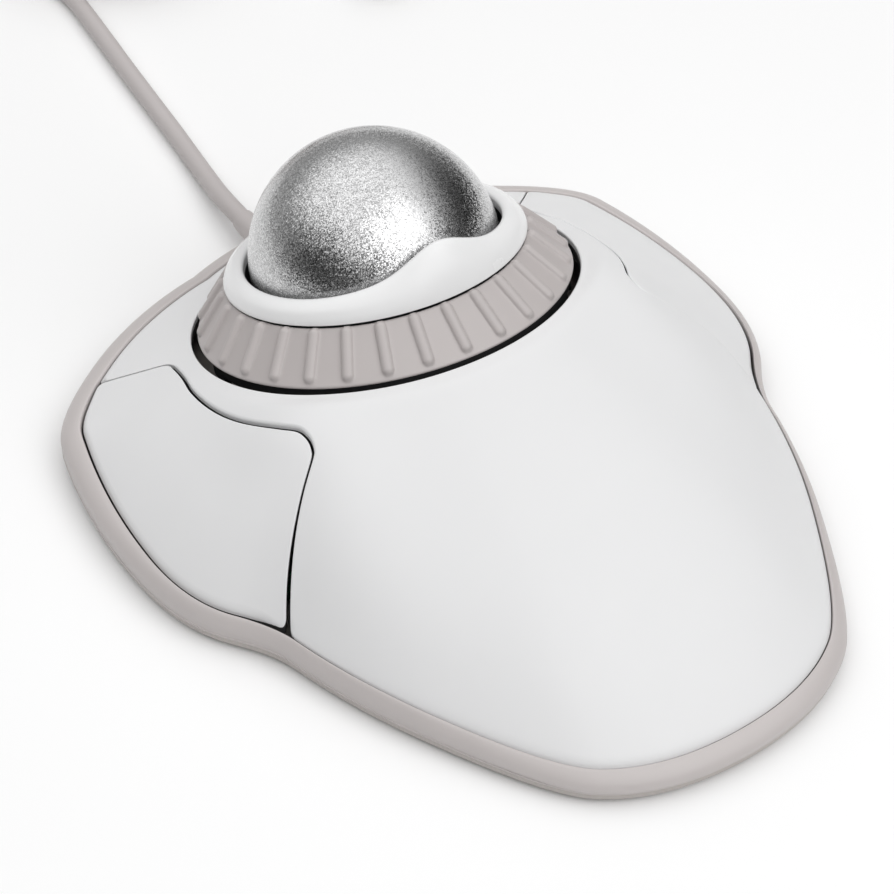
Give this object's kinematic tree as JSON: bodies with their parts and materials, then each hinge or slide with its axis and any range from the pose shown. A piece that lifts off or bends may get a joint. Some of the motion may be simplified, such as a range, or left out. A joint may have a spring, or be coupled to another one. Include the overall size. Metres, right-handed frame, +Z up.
{
  "type": "trackball mouse",
  "caption": "Wired desktop trackball with a tilted scroll ring round the ball, two side buttons, a sloping palm rest and a coiled cable.",
  "frame": {"origin": "on the resting surface, under the middle of the case", "axes": "+Z up, +Y towards the cable, +X to the user's right"},
  "size_m": [0.125, 0.2618, 0.047],
  "materials": {
    "rim_plastic": "satin",
    "case_plastic": "semi-gloss moulded",
    "dark_plastic": "satin",
    "ceramic": "polished",
    "board": "solder mask",
    "tin_parts": "satin",
    "cream_plastic": "satin",
    "cable_jacket": "matt",
    "lens": "clear",
    "lamp": "clear red",
    "steel": "plated",
    "foot_rubber": "matt",
    "ball_silver": "metal flake under a clear coat",
    "ring_core": "satin",
    "ring_rubber": "soft satin",
    "lever_plastic": "satin",
    "plunger_plastic": "satin",
    "tie": "matt",
    "plug_plastic": "satin",
    "plug_metal": "plated"
  },
  "bodies": {
    "base": {"bottom_cover": "rim_plastic", "rim_band": "rim_plastic", "top_shell": "case_plastic", "ball_socket": "dark_plastic", "collar": "case_plastic", "support_bearings": "ceramic", "main_board": "board", "controller_chips": "dark_plastic", "board_parts": "tin_parts", "cable_header": "cream_plastic", "header_plug": "cream_plastic", "inner_cable": "cable_jacket", "ball_sensor_board": "board", "ball_sensor_chip": "dark_plastic", "ball_sensor_lens": "lens", "sensor_light": "lamp", "ring_sensor": "dark_plastic", "ring_sensor_board": "board", "left_switch": "dark_plastic", "right_switch": "dark_plastic", "button_pins": "steel", "case_screws": "steel", "socket_screws": "steel", "board_screws": "steel", "rubber_feet": "foot_rubber", "strain_relief": "cable_jacket", "cable": "cable_jacket", "cable_coil": "cable_jacket", "cable_tail": "cable_jacket", "coil_tie": "tie", "plug_grip": "plug_plastic", "plug_shell": "plug_metal", "plug_tongue": "cream_plastic"},
    "ball": {"trackball": "ball_silver"},
    "ring": {"scroll_ring": "ring_core", "ring_grip": "ring_rubber"},
    "left_key": {"left_button": "case_plastic", "left_lever": "lever_plastic"},
    "right_key": {"right_button": "case_plastic", "right_lever": "lever_plastic"},
    "left_tip": {"left_plunger": "plunger_plastic"},
    "right_tip": {"right_plunger": "plunger_plastic"}
  },
  "joints": [
    {"name": "ball_roll", "type": "hinge", "parent": "base", "child": "ball", "pos_m": [0, 0.031, 0.027], "axis": [1, 0, 0], "continuous": true},
    {"name": "ring_spin", "type": "hinge", "parent": "base", "child": "ring", "pos_m": [0, 0.031, 0.027], "axis": [0, 0.342, 0.9397], "continuous": true},
    {"name": "left_press", "type": "hinge", "parent": "base", "child": "left_key", "pos_m": [-0.0389, 0.038, 0.007], "axis": [1, 0, 0], "range_deg": [0, 1.2], "stiffness_Nm_per_rad": 1, "springref_deg": -0.46},
    {"name": "right_press", "type": "hinge", "parent": "base", "child": "right_key", "pos_m": [0.0389, 0.038, 0.007], "axis": [1, 0, 0], "range_deg": [0, 1.2], "stiffness_Nm_per_rad": 1, "springref_deg": -0.46},
    {"name": "left_click", "type": "slide", "parent": "base", "child": "left_tip", "axis": [0, 0, -1], "range_m": [0, 0.0008]},
    {"name": "right_click", "type": "slide", "parent": "base", "child": "right_tip", "axis": [0, 0, -1], "range_m": [0, 0.0008]}
  ],
  "couplings": [
    {"joint": "left_click", "follows": "left_press", "m_per_rad": 0.033},
    {"joint": "right_click", "follows": "right_press", "m_per_rad": 0.033}
  ]
}
